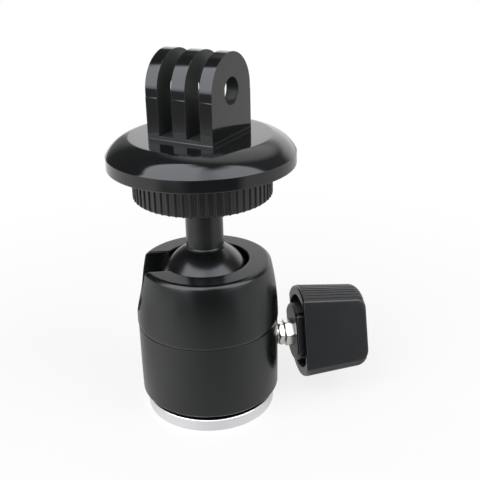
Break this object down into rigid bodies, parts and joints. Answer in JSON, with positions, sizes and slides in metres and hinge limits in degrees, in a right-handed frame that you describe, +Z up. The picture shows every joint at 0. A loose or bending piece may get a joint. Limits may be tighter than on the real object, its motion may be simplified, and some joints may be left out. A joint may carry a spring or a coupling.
{
  "type": "action camera tripod mount",
  "caption": "Small ball head with a drop notch, side clamp knob, ribbed locking wheel and a three-prong action camera adapter on a domed disc.",
  "frame": {"origin": "centre of the tripod thread's mouth, on the underside of the base ring", "axes": "+Z up along the housing's axis, +X along the clamp screw towards the knob; the drop notch faces 175 degrees from +X about +Z"},
  "size_m": [0.0545, 0.039, 0.0788],
  "materials": {
    "housing_black": "satin black anodised aluminium",
    "base_silver": "turned, satin",
    "bright_steel": "bright nickel",
    "brass": "machined",
    "nylon": "smooth",
    "ball_black": "satin black",
    "wheel_plastic": "fine satin",
    "pad_rubber": "matt",
    "adapter_gloss": "glossy black",
    "knob_plastic": "satin black"
  },
  "bodies": {
    "housing": {"lower_housing": "housing_black", "upper_housing": "housing_black", "base_plug": "base_silver", "base_insert": "bright_steel"},
    "seat_carrier": {"seat_carrier": "base_silver", "seat_spring": "bright_steel"},
    "ball_seat": {"ball_seat": "nylon"},
    "ball": {"ball": "ball_black", "stem": "ball_black", "stud": "bright_steel"},
    "rubber_pad": {"rubber_pad": "pad_rubber"},
    "lock_wheel": {"lock_wheel": "wheel_plastic", "wheel_insert": "brass"},
    "adapter": {"adapter": "adapter_gloss", "adapter_insert": "brass"},
    "wedge": {"wedge": "brass"},
    "clamp_knob": {"clamp_screw": "bright_steel", "lock_nut": "bright_steel", "knob_bush": "bright_steel", "knob": "knob_plastic"}
  },
  "joints": [
    {"name": "seat_lift", "type": "slide", "parent": "housing", "child": "seat_carrier", "axis": [0, 0, 1], "range_m": [-0.0003, 0]},
    {"name": "ball_pan", "type": "hinge", "parent": "seat_carrier", "child": "ball_seat", "pos_m": [0, 0, 0.0283], "axis": [0, 0, 1], "range_deg": [0, 360]},
    {"name": "ball_tilt", "type": "hinge", "parent": "ball_seat", "child": "ball", "pos_m": [0, 0, 0.0283], "axis": [-0.0872, -0.9962, 0], "range_deg": [-33, 90]},
    {"name": "pad_slide", "type": "slide", "parent": "ball", "child": "rubber_pad", "axis": [0, 0, 1], "range_m": [-0.00125, 0]},
    {"name": "wheel_turn", "type": "hinge", "parent": "rubber_pad", "child": "lock_wheel", "pos_m": [0, 0, 0.0522], "axis": [0, 0, 1], "range_deg": [-340, 0]},
    {"name": "adapter_turn", "type": "hinge", "parent": "ball", "child": "adapter", "pos_m": [0, 0, 0.05587], "axis": [0, 0, 1], "continuous": true},
    {"name": "wedge_slide", "type": "slide", "parent": "housing", "child": "wedge", "axis": [1, 0, 0], "range_m": [0, 0.0012]},
    {"name": "clamp_turn", "type": "hinge", "parent": "wedge", "child": "clamp_knob", "pos_m": [0.01967, 0, 0.0142], "axis": [1, 0, 0], "range_deg": [0, 541]}
  ],
  "couplings": [
    {"joint": "clamp_turn", "follows": "wedge_slide", "rad_per_m": 7854},
    {"joint": "seat_lift", "follows": "wedge_slide", "ratio": -0.22},
    {"joint": "pad_slide", "follows": "wheel_turn", "m_per_rad": 0.00020213}
  ]
}
